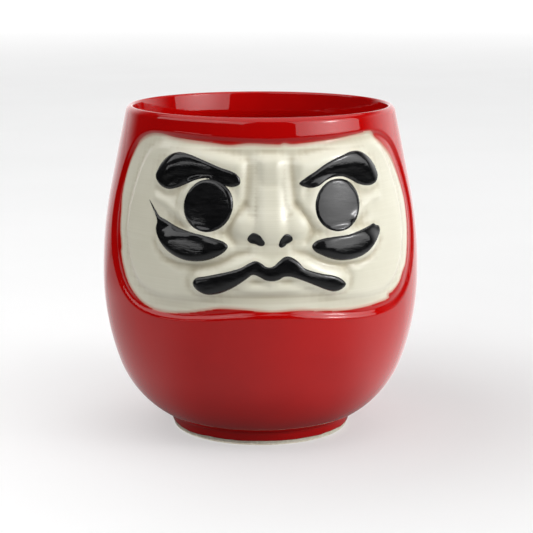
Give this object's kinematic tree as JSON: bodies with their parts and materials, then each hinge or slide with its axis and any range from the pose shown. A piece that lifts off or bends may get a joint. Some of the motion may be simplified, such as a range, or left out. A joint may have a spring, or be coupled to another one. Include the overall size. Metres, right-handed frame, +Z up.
{
  "type": "ceramic cup",
  "caption": "Handleless barrel-shaped ceramic cup on a foot ring, red glaze outside and in, with a moulded ivory folk-doll face and thick black painted features.",
  "frame": {"origin": "on the cup's axis, in the plane that the foot ring stands on", "axes": "+Z up along the cup's axis, the face looks along -Y, +X to the right of someone who looks at the face"},
  "size_m": [0.0892, 0.0903, 0.092],
  "materials": {
    "clay": "bare fired clay, matt",
    "red_glaze": "glossy red glaze",
    "clear_glaze": "glossy clear glaze over ivory clay",
    "ivory_glaze": "glossy ivory glaze with faint brush lines",
    "black_enamel": "thick glossy black enamel"
  },
  "bodies": {
    "root": {"clay_body": "clay", "outer_glaze": "red_glaze", "inner_glaze": "red_glaze", "base_glaze": "clear_glaze", "face_panel": "ivory_glaze", "brow_left": "black_enamel", "brow_right": "black_enamel", "eye_left": "black_enamel", "eye_right": "black_enamel", "cheek_left": "black_enamel", "cheek_right": "black_enamel", "nostril_left": "black_enamel", "nostril_right": "black_enamel", "moustache": "black_enamel"}
  },
  "joints": []
}
